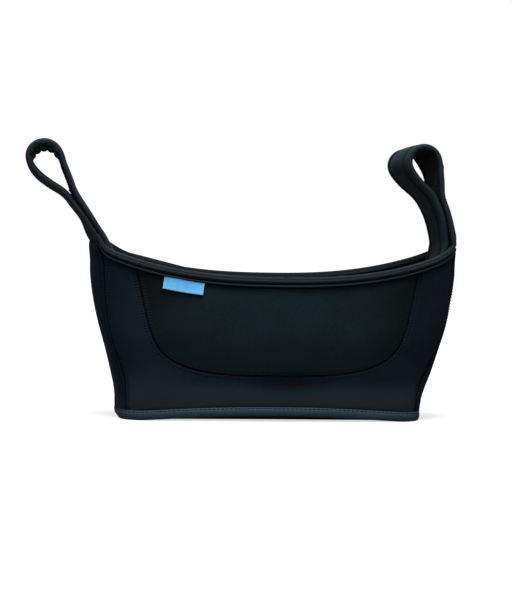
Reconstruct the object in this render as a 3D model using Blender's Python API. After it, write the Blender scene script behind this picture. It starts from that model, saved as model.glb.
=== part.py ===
"""Stroller organizer: an open neoprene caddy with a flared body, two cup
dividers and two looped straps. Metres, +Z up, front facing -Y, and the
origin on the floor under the middle of the base."""

from math import cos, exp, log, pi, radians, sin

import bmesh
import bpy
from mathutils import Vector

# Body. Heights are measured from the floor, lengths along X, depths along Y.
# The rim's rise is a wide sweep and a small share that comes only at the corners.
# The back rim is a little higher, and at the left corner it lifts to meet the strap.
BASE_LENGTH = 0.3060
RIM_LENGTH = 0.3725
FLARE_HEIGHT = 0.1500
SWAY = 0.0043
BASE_DEPTH = 0.1060
WAIST_DEPTH = 0.0940
WAIST_HEIGHT = 0.0450
BELLY_DEPTH = 0.0990
BELLY_HEIGHT = 0.0800
RIM_DEPTH = 0.0860
RIM_LOW = 0.1445
RIM_HIGH = 0.1800
RIM_CORNER_SHARE = 0.12
RIM_SWEEP_POWER = 2.5
RIM_CORNER_POWER = 18
BACK_LIFT = 0.0013
CORNER_LIFT = 0.0160
CORNER_LIFT_REACH = 0.0190
CORNER_LIFT_SOFTNESS = 0.0015
RIGHT_BULGE = 0.0030
BASE_SQUARENESS = 5.5
LEFT_SQUARENESS = 3.3
RIGHT_SQUARENESS = 4.4
FRONT_ARCH = 0.0050
ARCH_DEPTH = 0.0240

# Cloth, tape and seams.
PANEL = 0.0030
TAPE = 0.0010
GAP = 0.0004
RIM_TAPE_HEIGHT = 0.0100
HEM_HEIGHT = 0.0085
HEM_INNER_HEIGHT = 0.0045
GUSSET_BASE = 0.0760
GUSSET_NECK = 0.0510
GUSSET_NECK_HEIGHT = 0.1500
STRAP_WIDTH = 0.0420

# Front insert, a shallow U hung from the rim.
INSERT_TOP_LENGTH = 0.2920
INSERT_TAPER = 0.0250
INSERT_BOTTOM = 0.0450
INSERT_SIDE_POWER = 7.5
INSERT_FLOOR_POWER = 3.0

# Base board and cup dividers.
BOARD = 0.0020
BASE_PANEL = 0.0030
FLOOR_CLEARANCE = 0.0012
DIVIDER = 0.0024
DIVIDER_PLACE = 0.0850
DIVIDER_TOP = 0.1240
DIVIDER_TAPE_HEIGHT = 0.0070
DIVIDER_CLEARANCE = 0.0012

# Straps. Each spine runs from the gusset's top to the middle of the loop,
# as steps outward and upward from the root.
STRAP = 0.0034
STRAP_TAIL = 0.0260
TAIL_SLOPE = 0.22
TAIL_NARROWING = 0.0050
STRAP_TAPE_WIDTH = 0.0050
PATCH = 0.0010
PATCH_LENGTH = 0.0340
PATCH_WIDTH = 0.0260
PATCH_START = 0.0240
LOOP_BLEND = 0.0460
BOW_FADE = 0.0300
LEFT_LOOP_RADIUS = 0.0165
RIGHT_LOOP_RADIUS = 0.0160
LEFT_SPINE = ((0.0, 0.0), (0.0080, 0.0120), (0.0175, 0.0250), (0.0280, 0.0375),
              (0.0390, 0.0485), (0.0490, 0.0600), (0.0555, 0.0705), (0.0565, 0.0780))
RIGHT_SPINE = ((0.0, 0.0), (-0.0020, 0.0120), (-0.0045, 0.0250), (-0.0085, 0.0370),
               (-0.0140, 0.0490), (-0.0200, 0.0610), (-0.0255, 0.0720), (-0.0285, 0.0840))
# The far edge of each strap leans by this much along X at root and at loop, and drops.
LEFT_LEAN = (0.0, 0.0070, -0.0030)
RIGHT_LEAN = (-0.0080, -0.0140, -0.0060)

# Side label.
LABEL_LENGTH = 0.0410
LABEL_HEIGHT = 0.0135
LABEL = 0.0008
LABEL_FROM_SEAM = 0.0512
LABEL_TILT = radians(-3.0)

# Mesh steps, and how many columns or rows of faces a piece has.
STEP = 0.0100
COLUMN_EVEN = 0.35
STRAP_STEP = 0.0060
RIM_BEND_STEP_COUNT = 4
HEM_BEND_STEP_COUNT = 4
DIVIDER_BEND_STEP_COUNT = 3
CORNER_STEP = 0.0400
SURROUND_ROW_COUNT = 6
INSERT_ROW_COUNT = 5
BACK_ROW_COUNT = 10
GUSSET_COLUMN_COUNT = 9
GUSSET_ROW_COUNT = 11
DIVIDER_CELL_COUNT = 6
PATCH_ROW_COUNT = 2
LABEL_COLUMN_COUNT = 5
LABEL_ROW_COUNT = 2
SEAM_SAMPLE_COUNT = 400
SEAM_PASS_COUNT = 3
ROUND_SAMPLE_COUNT = 720
SPLINE_SAMPLE_COUNT = 20
LOOP_SAMPLE_COUNT = 24

# Half the room between two panels at a seam, and half the width of a folded tape.
SEAM_GAP = 0.0003
SLEEVE = PANEL / 2 + GAP + TAPE

COLLECTION = "stroller_organizer"
BLACK_SIDE = (0.0061, 0.0107, 0.0137)
BLACK_GREEN = (0.0067, 0.0130, 0.0137)
BLACK_TAPE = (0.0100, 0.0140, 0.0160)
BLACK_STRAP = (0.0080, 0.0125, 0.0150)
LABEL_BLUE = (0.1300, 0.5100, 0.8700)

for old in list(bpy.data.objects):
    bpy.data.objects.remove(old, do_unlink=True)
organizer = bpy.data.collections.new(COLLECTION)
bpy.context.scene.collection.children.link(organizer)


def ease(share):
    share = min(max(share, 0.0), 1.0)
    return share * share * (3 - 2 * share)


def through(stations, height):
    """Eases between (height, value) stations and holds the first and last values."""
    for (low, start), (high, end) in zip(stations, stations[1:]):
        if height <= high:
            return start + (end - start) * ease((height - low) / (high - low))
    return stations[-1][1]


def bulge(height):
    """The right end bulges at mid height, so the body's middle and half length both grow."""
    return RIGHT_BULGE / 2 * sin(pi * min(height / FLARE_HEIGHT, 1.0)) ** 2


def half_length(height):
    flare = through(((0, BASE_LENGTH / 2), (FLARE_HEIGHT, RIM_LENGTH / 2)), height)
    return flare + bulge(height)


def half_depth(height):
    return through(((0, BASE_DEPTH / 2), (WAIST_HEIGHT, WAIST_DEPTH / 2),
                    (BELLY_HEIGHT, BELLY_DEPTH / 2), (RIM_LOW, RIM_DEPTH / 2)), height)


def squareness(height, side):
    top = RIGHT_SQUARENESS if side > 0 else LEFT_SQUARENESS
    return through(((0, BASE_SQUARENESS), (RIM_LOW, top)), height)


def sway(height):
    return SWAY * ease(height / RIM_LOW) + bulge(height)


def gusset_half(height):
    """Half the gusset's width: wide at the base, the strap's width at its top."""
    return through(((0, GUSSET_BASE / 2), (GUSSET_NECK_HEIGHT, GUSSET_NECK / 2),
                    (RIM_HIGH, STRAP_WIDTH / 2)), height)


def body(x, y, z):
    """Below zero inside the body's outer face, above zero outside it."""
    across = x - sway(z)
    power = squareness(z, across)
    return abs(across / half_length(z)) ** power + abs(y / half_depth(z)) ** power - 1


def outward(point):
    """The outer face's normal, from the slope of body()."""
    step = 1e-5
    slope = [body(*(point + d)) - body(*(point - d))
             for d in (Vector((step, 0, 0)), Vector((0, step, 0)), Vector((0, 0, step)))]
    return Vector(slope).normalized()


def face_point(x, z, side):
    """The outer face at x and z, on the front (side -1) or the back (side 1)."""
    share = min(abs((x - sway(z)) / half_length(z)), 1.0)
    power = squareness(z, x - sway(z))
    return Vector((x, side * half_depth(z) * (1 - share ** power) ** (1 / power), z))


def end_point(y, z, side):
    """The outer face at y and z, at the left end (side -1) or the right end (side 1)."""
    power = squareness(z, side)
    share = abs(y / half_depth(z))
    return Vector((sway(z) + side * half_length(z) * (1 - share ** power) ** (1 / power), y, z))


def seam_x(z, side):
    """Where the gusset's seam runs, at the left or right end."""
    return end_point(gusset_half(z), z, side).x


def rim_height(x, side=-1):
    """The rim dips in the middle and sweeps up to the straps, on the front or the back."""
    reach = abs(x - SWAY) / (RIM_LENGTH / 2)
    sweep = (1 - RIM_CORNER_SHARE) * reach ** RIM_SWEEP_POWER
    low = (RIM_HIGH - RIM_LOW) * (1 - sweep - RIM_CORNER_SHARE * reach ** RIM_CORNER_POWER)
    if side > 0:
        lift = CORNER_LIFT * exp((SWAY - RIM_LENGTH / 2 - x) / CORNER_LIFT_REACH)
        low = (low - BACK_LIFT - lift) / CORNER_LIFT_SOFTNESS
        low = CORNER_LIFT_SOFTNESS * log(1 + exp(low))
    return RIM_HIGH - low


def hem_lift(x, front):
    """How far the bottom edge arches off the floor at the front."""
    reach = min(abs(x) / (BASE_LENGTH / 2 - GUSSET_BASE / 4), 1.0)
    return FRONT_ARCH * front * (1 - reach * reach)


def panel_top(x, side=-1):
    return rim_height(x, side) - SLEEVE


def panel_foot(x, side):
    return SLEEVE + hem_lift(x, 1.0 if side < 0 else 0.0)


def material(name, colour, roughness):
    made = bpy.data.materials.new(name)
    made.use_nodes = True
    shader = made.node_tree.nodes["Principled BSDF"]
    shader.inputs["Base Color"].default_value = (*colour, 1)
    shader.inputs["Roughness"].default_value = roughness
    shader.inputs["Metallic"].default_value = 0
    return made


def add(name, bm, colour, roughness=0.85):
    """Closes a bmesh into one named object with its own material."""
    bmesh.ops.remove_doubles(bm, verts=bm.verts, dist=1e-6)
    bmesh.ops.dissolve_degenerate(bm, edges=bm.edges, dist=1e-6)
    rims = [edge for edge in bm.edges if edge.is_boundary]
    if rims:
        bmesh.ops.holes_fill(bm, edges=rims, sides=0)
    bmesh.ops.recalc_face_normals(bm, faces=bm.faces)
    mesh = bpy.data.meshes.new(name)
    bm.to_mesh(mesh)
    bm.free()
    mesh.shade_smooth()
    mesh.set_sharp_from_angle(angle=radians(40))
    piece = bpy.data.objects.new(name, mesh)
    mesh.materials.append(material(name, colour, roughness))
    organizer.objects.link(piece)
    return piece


def slab(place, columns, rows):
    """A sheet with two faces: place(u, v, depth) bends a flat grid, with all three 0 to 1."""
    bm = bmesh.new()
    bmesh.ops.create_grid(bm, x_segments=columns, y_segments=rows, size=0.5)
    bmesh.ops.solidify(bm, geom=bm.faces, thickness=1.0)
    depths = [v.co.z for v in bm.verts]
    low = min(depths)
    for vert in bm.verts:
        vert.co = place(vert.co.x + 0.5, vert.co.y + 0.5, vert.co.z - low)
    return bm


def sleeve(place, columns, ring, closed=False):
    """A sweep: place(u, (w, h)) puts each ring point (w, h) at u along the path."""
    bm = bmesh.new()
    bmesh.ops.create_grid(bm, x_segments=columns, y_segments=len(ring), size=0.5)
    for vert in bm.verts:
        index = round((vert.co.y + 0.5) * len(ring)) % len(ring)
        along = vert.co.x + 0.5
        vert.co = place(0.0 if closed and along > 1 - 1e-6 else along, ring[index])
    return bm


def dense(share, even=0.5):
    """Moves evenly spread shares closer together at both ends, more so where even is less."""
    return even * share + (1 - even) * (1 - cos(pi * share)) / 2


def steps(length, step=STEP):
    return max(2, round(length / step))


def u_section(leg_out, leg_in, half, wall, bend_steps):
    """A U-shaped section open downward: (w, h) with w across and h up from the bend's middle."""
    bend = [pi * i / bend_steps for i in range(bend_steps + 1)]
    outer = [(half * cos(angle), half * sin(angle)) for angle in bend]
    inner = [(w * (half - wall) / half, h * (half - wall) / half) for w, h in reversed(outer)]
    return ([(half, -leg_out)] + outer + [(-half, -leg_in)]
            + [(-half + wall, -leg_in)] + inner + [(half - wall, -leg_out)])


def resample(points, count, turn=0.0):
    """Spreads count + 1 points evenly along a polyline, closer in its bends where turn is set."""
    lengths = [0.0]
    for index, (a, b) in enumerate(zip(points, points[1:])):
        bend = (b - a).angle(points[min(index + 2, len(points) - 1)] - b, 0.0) if turn else 0.0
        lengths.append(lengths[-1] + (b - a).length + turn * bend)
    found, index = [], 0
    for step in range(count + 1):
        target = lengths[-1] * step / count
        while index < len(points) - 2 and lengths[index + 1] < target:
            index += 1
        share = (target - lengths[index]) / max(lengths[index + 1] - lengths[index], 1e-12)
        found.append(points[index].lerp(points[index + 1], share))
    return found


def insert_edge(count):
    """The U seam as evenly spread (x, z) points from the left rim to the right rim."""
    top_half = INSERT_TOP_LENGTH / 2
    top = rim_height(SWAY + top_half)
    drop = top - INSERT_BOTTOM
    side = []
    for step in range(SEAM_SAMPLE_COUNT + 1):
        angle = pi / 2 * step / SEAM_SAMPLE_COUNT
        down = sin(angle) ** (2 / INSERT_SIDE_POWER)
        width = (top_half - INSERT_TAPER * down) * cos(angle) ** (2 / INSERT_FLOOR_POWER)
        side.append((width, top - drop * down))
    curve = [Vector((SWAY - w, z)) for w, z in side]
    curve += [Vector((SWAY + w, z)) for w, z in reversed(side[:-1])]
    return resample(curve, count)


# Front surround: the U-shaped panel between the insert's seam, the two
# gusset seams and the hem.
edge_count = 4 * steps(INSERT_TOP_LENGTH / 4 + RIM_LOW / 2)
u_edge = insert_edge(edge_count)
corner = edge_count // 4


def outer_edge(index):
    """The surround's outer boundary, matched point by point with the U seam."""
    side = -1 if index < edge_count / 2 else 1
    from_top = min(index, edge_count - index) / corner
    if from_top <= 1:
        corner_z = panel_foot(seam_x(HEM_HEIGHT, side), -1)
        top_z = panel_top(seam_x(RIM_HIGH - SLEEVE, side))
        z = top_z + (corner_z - top_z) * from_top
        return Vector((seam_x(z, side) - side * SEAM_GAP, z))
    share = dense((index - corner) / (edge_count - 2 * corner))
    left, right = (seam_x(SLEEVE, s) - s * SEAM_GAP for s in (-1, 1))
    x = left + (right - left) * share
    return Vector((x, panel_foot(x, -1)))


o_edge = [outer_edge(i) for i in range(edge_count + 1)]


def front_place(x, z, depth):
    point = face_point(x, z, -1)
    return point - outward(point) * depth * PANEL


def surround_place(u, v, depth):
    index = round(u * edge_count)
    a, b = u_edge[index], o_edge[index]
    away = (b - a).normalized() * SEAM_GAP
    a = a + away
    v = 1 - (1 - v) ** 2
    share_a, share_b = a.y / panel_top(a.x), b.y / panel_top(b.x)
    if index in (0, edge_count):
        share_a = share_b = 1.0
    x = a.x + (b.x - a.x) * v
    z = (share_a + (share_b - share_a) * v) * panel_top(x)
    return front_place(x, z, depth)


add("front_surround", slab(surround_place, edge_count, SURROUND_ROW_COUNT), BLACK_SIDE)


# Front insert: the greenish panel inside the U seam, in upright columns.
def insert_place(u, v, depth):
    point = u_edge[round(u * edge_count)]
    x = point.x + (SWAY - point.x) / (INSERT_TOP_LENGTH / 2) * SEAM_GAP
    top = panel_top(x)
    low = min(point.y + SEAM_GAP, top)
    if u in (0.0, 1.0):
        low = top
    return front_place(x, low + (top - low) * dense(v), depth)


add("front_insert", slab(insert_place, edge_count, INSERT_ROW_COUNT), BLACK_GREEN)


# Back panel, from gusset seam to gusset seam and from hem to rim.
def back_place(u, v, depth):
    u, v = dense(u, COLUMN_EVEN), dense(v)
    z = RIM_HIGH * v
    for _ in range(SEAM_PASS_COUNT):
        left, right = (seam_x(z, s) - s * SEAM_GAP for s in (-1, 1))
        x = left + (right - left) * u
        foot, top = panel_foot(x, 1), panel_top(x, 1)
        z = foot + (top - foot) * v
    left, right = (seam_x(z, s) - s * SEAM_GAP for s in (-1, 1))
    point = face_point(left + (right - left) * u, z, 1)
    return point - outward(point) * depth * PANEL


add("back_panel", slab(back_place, steps(RIM_LENGTH), BACK_ROW_COUNT), BLACK_SIDE)


# Gussets: the end panels, narrowing from the base to the straps.
def gusset_place(side):
    def place(u, v, depth):
        z = SLEEVE + (RIM_HIGH - SLEEVE) * dense(v)
        half = gusset_half(z) - SEAM_GAP
        point = end_point(-half + 2 * half * dense(u), z, side)
        return point - outward(point) * depth * PANEL
    return place


for name, side in (("left_gusset", -1), ("right_gusset", 1)):
    add(name, slab(gusset_place(side), GUSSET_COLUMN_COUNT, GUSSET_ROW_COUNT), BLACK_SIDE)


# Rim tapes: folded over the top edges of the front and back panels.
RIM_RING = u_section(RIM_TAPE_HEIGHT - SLEEVE, RIM_TAPE_HEIGHT - SLEEVE, SLEEVE, TAPE,
                     RIM_BEND_STEP_COUNT)


def rim_place(side):
    def place(u, section):
        left, right = (seam_x(RIM_HIGH - SLEEVE, s) - s * SEAM_GAP for s in (-1, 1))
        x = left + (right - left) * dense(u, COLUMN_EVEN)
        w, h = section
        point = face_point(x, panel_top(x, side) + min(h, 0), side)
        point += outward(point) * (w - PANEL / 2)
        return point + Vector((0, 0, max(h, 0)))
    return place


for name, side in (("front_rim_tape", -1), ("back_rim_tape", 1)):
    add(name, sleeve(rim_place(side), steps(RIM_LENGTH), RIM_RING), BLACK_TAPE, 0.7)

# Hem tape: one ring folded under the bottom edges all round.
HEM_RING = [(w, -h) for w, h in u_section(HEM_HEIGHT - SLEEVE, HEM_INNER_HEIGHT - SLEEVE,
                                          SLEEVE, TAPE, HEM_BEND_STEP_COUNT)]


def round_base(angle, z):
    """The outer face at an angle round the base."""
    c, s = cos(angle), sin(angle)
    power = squareness(z, c)
    x = half_length(z) * abs(c) ** (2 / power) * (1 if c > 0 else -1)
    y = half_depth(z) * abs(s) ** (2 / power) * (1 if s > 0 else -1)
    return Vector((sway(z) + x, y, z))


def front_share(y):
    """How much of the front's arch a place at depth y takes."""
    return ease((-y - (BASE_DEPTH / 2 - ARCH_DEPTH)) / ARCH_DEPTH)


hem_path = resample([round_base(2 * pi * i / ROUND_SAMPLE_COUNT, SLEEVE)
                     for i in range(ROUND_SAMPLE_COUNT + 1)],
                    steps(2 * (BASE_LENGTH + BASE_DEPTH)), CORNER_STEP)
hem_count = len(hem_path) - 1


def hem_place(u, section):
    middle = hem_path[round(u * hem_count) % hem_count]
    w, h = section
    z = SLEEVE + hem_lift(middle.x, front_share(middle.y)) + max(h, 0)
    point = Vector((sway(z) + middle.x * half_length(z) / half_length(SLEEVE),
                    middle.y * half_depth(z) / half_depth(SLEEVE), z))
    point += outward(point) * (w - PANEL / 2)
    return Vector((point.x, point.y, z + min(h, 0)))


add("hem_tape", sleeve(hem_place, hem_count, HEM_RING, closed=True), BLACK_TAPE, 0.7)


# Base panel and the stiff board on it, both inside the hem's inner leg. Each
# is turned round the middle of the base, so its ring runs out and back.
FLOOR_OUT = (0, 0.5, 0.7, 0.85, 1)
FLOOR_RING = [(out, 0) for out in FLOOR_OUT] + [(out, 1) for out in reversed(FLOOR_OUT)]


def floor_place(low, thick):
    def place(u, section):
        out, depth = section
        edge = hem_path[round(u * hem_count) % hem_count]
        inner = edge - outward(edge) * (PANEL + TAPE + FLOOR_CLEARANCE)
        x, y = inner.x * out, inner.y * out
        lift = hem_lift(x, front_share(y))
        return Vector((x, y, low + lift + thick * depth))
    return place


for name, low, thick in (("base_panel", 0, BASE_PANEL), ("base_board", BASE_PANEL + GAP, BOARD)):
    add(name, sleeve(floor_place(low, thick), hem_count, FLOOR_RING, closed=True), BLACK_SIDE)


# Cup dividers: cloth walls from front to back, each with a tape over its top.
DIVIDER_SLEEVE = DIVIDER / 2 + GAP + TAPE


def divider_half(z, side):
    return face_point(side * DIVIDER_PLACE, z, 1).y - PANEL - DIVIDER_CLEARANCE


def divider_place(side):
    foot = BASE_PANEL + BOARD + 2 * GAP

    def place(u, v, depth):
        low = foot + FRONT_ARCH * (1 - u)
        z = low + (DIVIDER_TOP - DIVIDER_SLEEVE - low) * v
        half = divider_half(z, side)
        x = side * (DIVIDER_PLACE + DIVIDER * (depth - 0.5))
        return Vector((x, half * (2 * u - 1), z))
    return place


DIVIDER_RING = u_section(DIVIDER_TAPE_HEIGHT - DIVIDER_SLEEVE,
                         DIVIDER_TAPE_HEIGHT - DIVIDER_SLEEVE, DIVIDER_SLEEVE, TAPE,
                         DIVIDER_BEND_STEP_COUNT)


def divider_tape_place(side):
    def place(u, section):
        w, h = section
        half = divider_half(DIVIDER_TOP, side)
        return Vector((side * DIVIDER_PLACE + w, half * (2 * u - 1), DIVIDER_TOP - DIVIDER_SLEEVE + h))
    return place


for name, side in (("left", -1), ("right", 1)):
    add(name + "_divider", slab(divider_place(side), DIVIDER_CELL_COUNT, DIVIDER_CELL_COUNT), BLACK_SIDE)
    add(name + "_divider_tape", sleeve(divider_tape_place(side), DIVIDER_CELL_COUNT, DIVIDER_RING),
        BLACK_TAPE, 0.7)

# Straps: the outer strand leaves the gusset's top, turns over in a loop and
# comes back down beside itself into the bag, held by a hook and a loop patch.
# STRAND_HALF is half the distance between the two strands.
STRAND_HALF = STRAP / 2 + max(TAPE, PATCH) + 1.5 * GAP
NEAR = -STRAP_WIDTH / 2


def spine_curve(side, route):
    """A smooth curve through the route's points, in the X-Z plane."""
    points = [Vector((side * out, up)) for out, up in route]
    points = [2 * points[0] - points[1]] + points + [2 * points[-1] - points[-2]]
    curve = []
    for a, b, c, d in zip(points, points[1:], points[2:], points[3:]):
        for step in range(SPLINE_SAMPLE_COUNT):
            t = step / SPLINE_SAMPLE_COUNT
            curve.append(0.5 * (2 * b + (c - a) * t + (2 * a - 5 * b + 4 * c - d) * t * t
                                + (3 * b - a - 3 * c + d) * t ** 3))
    curve.append(points[-2])
    return curve


def strand(curve, side, radius, hand):
    """One strand beside the spine: hand is 1 for the outer one, -1 for the inner one."""
    lengths = [0.0]
    for a, b in zip(curve, curve[1:]):
        lengths.append(lengths[-1] + (b - a).length)
    made = []
    for index, point in enumerate(curve):
        ahead = curve[min(index + 1, len(curve) - 1)] - curve[max(index - 1, 0)]
        away = Vector((-ahead.y, ahead.x)).normalized() * -side
        share = ease(1 - (lengths[-1] - lengths[index]) / LOOP_BLEND)
        made.append(point + away * hand * (STRAND_HALF + (radius - STRAND_HALF) * share))
    return made


def strap_path(side, route, radius):
    """The strap's middle line along its near edge: out, round the loop and back."""
    curve = spine_curve(side, route)
    out = strand(curve, side, radius, 1)
    back = strand(curve, side, radius, -1)
    centre = curve[-1]
    up = (centre - curve[-2]).normalized() * radius
    away = out[-1] - centre
    turn = [centre + away * cos(pi * i / LOOP_SAMPLE_COUNT) + up * sin(pi * i / LOOP_SAMPLE_COUNT)
            for i in range(1, LOOP_SAMPLE_COUNT)]
    tail = [back[0] + Vector((-side * TAIL_SLOPE, -1)).normalized() * STRAP_TAIL]
    seam = end_point(NEAR, RIM_HIGH, side)
    root = Vector(((seam - outward(seam) * PANEL / 2).x, RIM_HIGH + GAP))
    return [root + point - out[0] for point in out + turn + back[::-1] + tail]


def strap_frame(side, route, radius, lean):
    """Returns at(index, across, depth): a place on the strap, with across 0 at the near edge."""
    line = strap_path(side, route, radius)
    total = sum((b - a).length for a, b in zip(line, line[1:]))
    count = steps(total, STRAP_STEP)
    line = resample(line, count)
    top = max(point.y for point in line)

    def at(index, across, depth):
        index = min(max(index, 0), count)
        point = line[index]
        ahead = (line[min(index + 1, count)] - line[max(index - 1, 0)]).normalized()
        if index == 0:
            ahead = Vector((0, 1))
        away = Vector((-ahead.y, ahead.x)) * -side
        height = ease((point.y - RIM_HIGH) / (top - RIM_HIGH))
        lean_x = lean[0] + (lean[1] - lean[0]) * height
        fade = ease(1 - index * total / count / BOW_FADE)
        narrowing = TAIL_NARROWING * ease(2 - (count - index) * total / count / STRAP_TAIL)
        y = (STRAP_WIDTH - narrowing) * (across - 0.5)
        level = min(max(y, NEAR + SEAM_GAP), -NEAR - SEAM_GAP)
        bow = (end_point(level, RIM_HIGH, side) - end_point(NEAR, RIM_HIGH, side)).x * fade
        x = point.x + away.x * depth + bow + lean_x * across * (1 - fade)
        z = point.y + away.y * depth + lean[2] * height * across
        return Vector((x, y, z))
    return at, count


def strap_pieces(name, side, route, radius, lean):
    at, count = strap_frame(side, route, radius, lean)
    edge, tape = (TAPE + GAP) / STRAP_WIDTH, STRAP_TAPE_WIDTH / STRAP_WIDTH
    across = (edge, tape, 0.5, 1 - tape, 1 - edge)

    def core(u, v, depth):
        return at(round(u * count), across[round(v * (len(across) - 1))], STRAP * (depth - 0.5))

    add("strap_" + name, slab(core, count, len(across) - 1), BLACK_STRAP)

    patch_steps = steps(PATCH_LENGTH, STRAP_STEP)
    start = steps(PATCH_START, STRAP_STEP)
    tail = steps(STRAP_TAIL, STRAP_STEP)
    for kind, first in (("loop", start), ("hook", count - tail - start - patch_steps)):
        def patch(u, v, depth, first=first):
            edge_share = (1 - PATCH_WIDTH / STRAP_WIDTH) / 2
            share = edge_share + (1 - 2 * edge_share) * v
            return at(first + round(u * patch_steps), share, -STRAP / 2 - GAP - PATCH * depth)
        add(kind + "_patch_" + name, slab(patch, patch_steps, PATCH_ROW_COUNT), BLACK_TAPE, 0.95)

    half = STRAP / 2 + GAP + TAPE
    ring = [(half, STRAP_TAPE_WIDTH), (half, 0), (-half, 0), (-half, STRAP_TAPE_WIDTH),
            (-half + TAPE, STRAP_TAPE_WIDTH), (-half + TAPE, TAPE), (half - TAPE, TAPE),
            (half - TAPE, STRAP_TAPE_WIDTH)]
    for edge, flip in (("near", False), ("far", True)):
        def binding(u, section, flip=flip):
            w, inward = section
            share = inward / STRAP_WIDTH
            return at(round(u * count), 1 - share if flip else share, w)
        add("strap_" + name + "_" + edge + "_tape", sleeve(binding, count, ring), BLACK_TAPE, 0.7)


strap_pieces("left", -1, LEFT_SPINE, LEFT_LOOP_RADIUS, LEFT_LEAN)
strap_pieces("right", 1, RIGHT_SPINE, RIGHT_LOOP_RADIUS, RIGHT_LEAN)


# Label: a folded woven tag that hangs from the front rim tape.
def label_place(u, v, depth):
    middle = SWAY - INSERT_TOP_LENGTH / 2 + LABEL_FROM_SEAM
    x = middle + LABEL_LENGTH * (u - 0.5) * cos(LABEL_TILT)
    top = rim_height(x) - RIM_TAPE_HEIGHT - GAP
    x += v * LABEL_HEIGHT * sin(LABEL_TILT)
    z = top - LABEL_HEIGHT * v
    point = face_point(x, z, -1)
    return point + outward(point) * (GAP + LABEL * depth)


add("label", slab(label_place, LABEL_COLUMN_COUNT, LABEL_ROW_COUNT), LABEL_BLUE, 0.6)
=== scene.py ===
from math import cos, pi, radians, sin, tau

import bmesh
import bpy
import numpy as np
from mathutils import Euler, Matrix, Vector


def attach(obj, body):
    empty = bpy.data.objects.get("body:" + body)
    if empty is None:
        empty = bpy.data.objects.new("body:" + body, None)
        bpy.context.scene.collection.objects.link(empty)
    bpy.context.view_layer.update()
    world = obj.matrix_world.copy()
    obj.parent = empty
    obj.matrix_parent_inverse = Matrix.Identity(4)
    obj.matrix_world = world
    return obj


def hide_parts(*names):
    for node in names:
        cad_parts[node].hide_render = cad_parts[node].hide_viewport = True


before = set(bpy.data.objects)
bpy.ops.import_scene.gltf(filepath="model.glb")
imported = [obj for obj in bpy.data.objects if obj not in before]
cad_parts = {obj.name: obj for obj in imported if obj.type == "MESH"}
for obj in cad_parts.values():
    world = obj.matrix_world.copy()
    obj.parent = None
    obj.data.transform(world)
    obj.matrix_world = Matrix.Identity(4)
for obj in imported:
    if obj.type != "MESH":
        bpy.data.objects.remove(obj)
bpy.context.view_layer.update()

# Front panel: foam-backed knit cut as a wide U. Its cut edges are turned in and sewn
# to the insert and to the two end panels, and each seam is topstitched on both sides.
BASE_LENGTH, RIM_LENGTH = 0.306, 0.3725
FLARE_HEIGHT, SWAY, RIGHT_BULGE = 0.15, 0.0043, 0.003
BASE_DEPTH, WAIST_DEPTH, BELLY_DEPTH, RIM_DEPTH = 0.106, 0.094, 0.099, 0.086
WAIST_HEIGHT, BELLY_HEIGHT = 0.045, 0.08
RIM_LOW, RIM_HIGH = 0.1445, 0.18
BASE_SQUARENESS, LEFT_SQUARENESS, RIGHT_SQUARENESS = 5.5, 3.3, 4.4
GUSSET_BASE, GUSSET_NECK, GUSSET_NECK_HEIGHT = 0.076, 0.051, 0.15
STRAP_WIDTH = 0.042
PANEL, TAPE, GAP = 0.003, 0.001, 0.0004
SLEEVE = PANEL / 2 + GAP + TAPE
SEAM_CLEARANCE = 0.00005
FRONT_LIFTS = (0.0, 0.011, 0.0052, 0.005, 0.011)
BACK_LIFTS = (0.0013, 0.016, 0.019, 0.002, 0.012)
RIM_BEND, HEM_ARCH, ARCH_DEPTH = 0.0015, 0.005, 0.024
U_TOP_HALF, U_TAPER, U_BOTTOM = 0.146, 0.025, 0.045
STITCH_ROW, STITCH_PITCH, THREAD_SINK = 0.0035, 0.003, 0.00045
SEAM_DEPTH, SEAM_WIDTH, DIP_DEPTH, DIP_WIDTH = 0.0016, 0.00085, 0.0006, 0.0058
NEEDLE_DEPTH, NEEDLE_BANK, NEEDLE_WIDTH = 0.0008, 0.00018, 0.00075
# Painted highlight on the cloth beside each stitch row, between its needle holes.
STITCH_HIGHLIGHT, STITCH_HIGHLIGHT_WIDTH = 0.6, 0.0013
PINCH_DEPTH, PINCH_PLACE, PINCH_WIDTH, PULL_WIDTH = 0.0008, 0.0002, 0.0011, 0.01
# Painted shade under the rim and hem tapes' lower edges; the pulls are how far the tapes draw the
# cloth in.
RIM_PAINTED_SHADE, HEM_PAINTED_SHADE, RIM_PULL, HEM_PULL, END_PULL = 0.9, 0.65, 0.0007, 0.0002, -0.0013
PUFF, PUFF_WAVE, SEAM_HOLD, TAPE_HOLD = 0.001, 0.0005, 0.016, 0.012
CREASE_DEPTH, CREASE_HEIGHT, CREASE_WIDTH = 0.002, 0.0375, 0.0095
DEEPEST, PANEL_FILL = 0.0022, 0.8
RIM_TAPE_HEIGHT, HEM_HEIGHT = 0.0104, 0.0096
SIDE_BLACK = (0.0017, 0.0047, 0.0075, 1)


def ease(share):
    share = np.clip(share, 0.0, 1.0)
    return share * share * (3 - 2 * share)


def hump(value, middle, width):
    """1 where the value meets the middle, and close to 0 two widths away."""
    return np.exp(-((value - middle) / width) ** 2)


def needles(run, pitch):
    """1 at each needle hole along a seam, and 0 halfway between two."""
    return (0.5 + 0.5 * np.cos(tau * run / pitch)) ** 2


def unit(vectors):
    return vectors / np.linalg.norm(vectors, axis=-1, keepdims=True)


def through(stations, height):
    value = np.full_like(np.asarray(height, float), stations[0][1])
    for (low, start), (high, end) in zip(stations, stations[1:]):
        part = start + (end - start) * ease((height - low) / (high - low))
        value = np.where(height > low, part, value)
    return value


def bulge(height):
    return RIGHT_BULGE / 2 * np.sin(pi * np.minimum(height / FLARE_HEIGHT, 1.0)) ** 2


def half_length(height):
    return through(((0, BASE_LENGTH / 2), (FLARE_HEIGHT, RIM_LENGTH / 2)), height) + bulge(height)


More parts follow.
